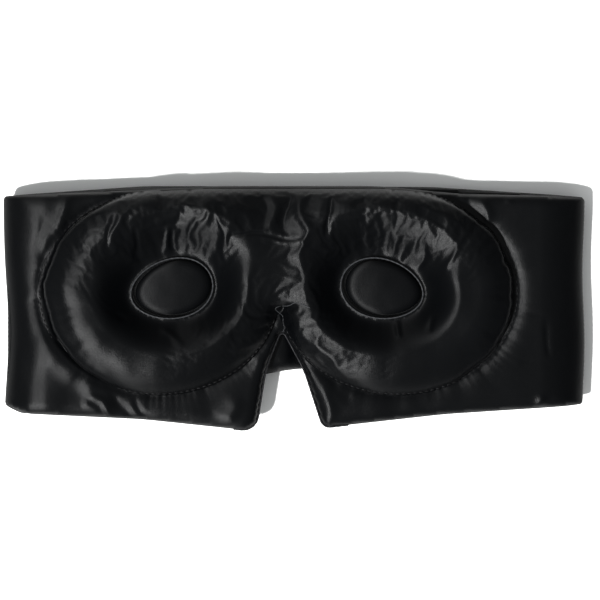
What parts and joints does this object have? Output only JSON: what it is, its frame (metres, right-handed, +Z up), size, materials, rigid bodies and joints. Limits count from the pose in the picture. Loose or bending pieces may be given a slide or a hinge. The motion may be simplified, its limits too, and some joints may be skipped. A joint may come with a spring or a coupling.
{
  "type": "sleep eye mask",
  "caption": "Padded satin wrap-around sleep mask with hollow eye cavities and a nose notch, folded flat with its side bands closed behind it by hook-and-loop tape.",
  "frame": {"origin": "on the supporting surface, under the middle of the folded mask's bounding box", "axes": "+X along the mask towards the short band's fold, +Y towards the forehead edge, +Z up out of the face side"},
  "size_m": [0.2324, 0.0988, 0.0275],
  "materials": {
    "satin": "lustrous black satin weave",
    "thread": "twisted polyester sewing thread",
    "fibre_fill": "soft polyester batting",
    "foam": "moulded soft foam",
    "liner": "matt blackout interlining",
    "hook_tape": "moulded nylon hooks",
    "loop_tape": "brushed nylon loops"
  },
  "bodies": {
    "front_panel": {"outer_cover": "satin", "blackout_liner": "liner", "front_padding": "fibre_fill", "face_lining": "satin", "nose_notch_binding": "satin", "face_pad_foam": "foam", "face_pad_cover": "satin", "pad_topstitch": "thread", "eye_disc_core_left": "foam", "eye_disc_cover_left": "satin", "eye_piping_left": "satin", "eye_disc_core_right": "foam", "eye_disc_cover_right": "satin", "eye_piping_right": "satin"},
    "left_band": {"left_band_lining": "satin", "left_band_outer": "satin", "left_band_padding": "fibre_fill"},
    "closure_tab": {"closure_tab_lining": "satin", "closure_tab_outer": "satin", "closure_tab_padding": "fibre_fill", "hook_tape": "hook_tape", "hook_tape_stitching": "thread"},
    "right_band": {"right_band_lining": "satin", "right_band_outer": "satin", "right_band_padding": "fibre_fill", "loop_tape": "loop_tape", "loop_tape_stitching": "thread"}
  },
  "joints": [
    {"name": "left_band_fold", "type": "hinge", "parent": "front_panel", "child": "left_band", "pos_m": [-0.1162, 0, 0.00965], "axis": [0, 1, 0], "range_deg": [0, 174]},
    {"name": "right_band_fold", "type": "hinge", "parent": "front_panel", "child": "right_band", "pos_m": [0.1162, 0, 0.00975], "axis": [0, -1, 0], "range_deg": [0, 174]},
    {"name": "closure_tab_peel", "type": "hinge", "parent": "left_band", "child": "closure_tab", "pos_m": [0.05, 0, 0], "axis": [0, 1, 0], "range_deg": [0, 90]}
  ],
  "couplings": [
    {"joint": "right_band_fold", "follows": "left_band_fold", "ratio": 1}
  ]
}
